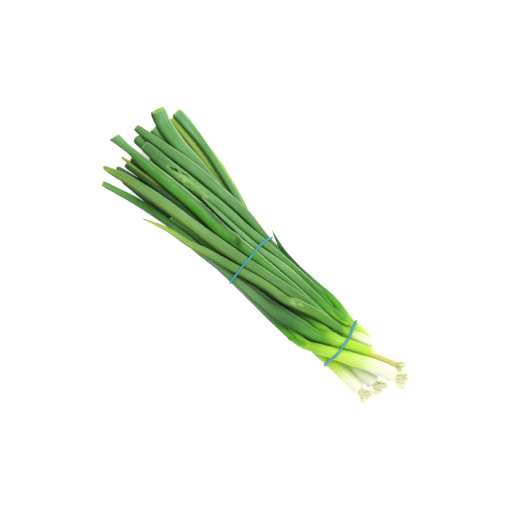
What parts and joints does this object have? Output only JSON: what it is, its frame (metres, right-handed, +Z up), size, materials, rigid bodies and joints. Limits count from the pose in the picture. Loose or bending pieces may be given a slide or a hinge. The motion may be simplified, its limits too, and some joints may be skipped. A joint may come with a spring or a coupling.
{
  "type": "spring onion bunch",
  "caption": "Bunch of trimmed spring onions lying flat, white root ends together, green leaves fanned at the tips, held by rubber bands.",
  "frame": {"origin": "middle of the bunch's bounding box, on the surface that it lies on", "axes": "+X along the stalks from the roots to the leaf tips, +Y across the bunch, +Z up from the surface"},
  "size_m": [0.3062, 0.0854, 0.0326],
  "materials": {
    "shank": "smooth waxy white skin of an onion shank, turning yellow-green at the neck",
    "leaf": "waxy green leaf skin with fine lengthwise veins",
    "root": "dry cream root threads",
    "band": "smooth pale blue rubber"
  },
  "bodies": {
    "root": {"onion_1_shank": "shank", "onion_1_leaves": "leaf", "onion_1_roots": "root", "onion_2_shank": "shank", "onion_2_leaves": "leaf", "onion_2_roots": "root", "onion_3_shank": "shank", "onion_3_leaves": "leaf", "onion_3_roots": "root", "onion_4_shank": "shank", "onion_4_leaves": "leaf", "onion_4_roots": "root", "onion_5_shank": "shank", "onion_5_leaves": "leaf", "onion_5_roots": "root", "onion_6_shank": "shank", "onion_6_leaves": "leaf", "onion_6_roots": "root", "band_lower": "band", "band_upper": "band"}
  },
  "joints": []
}
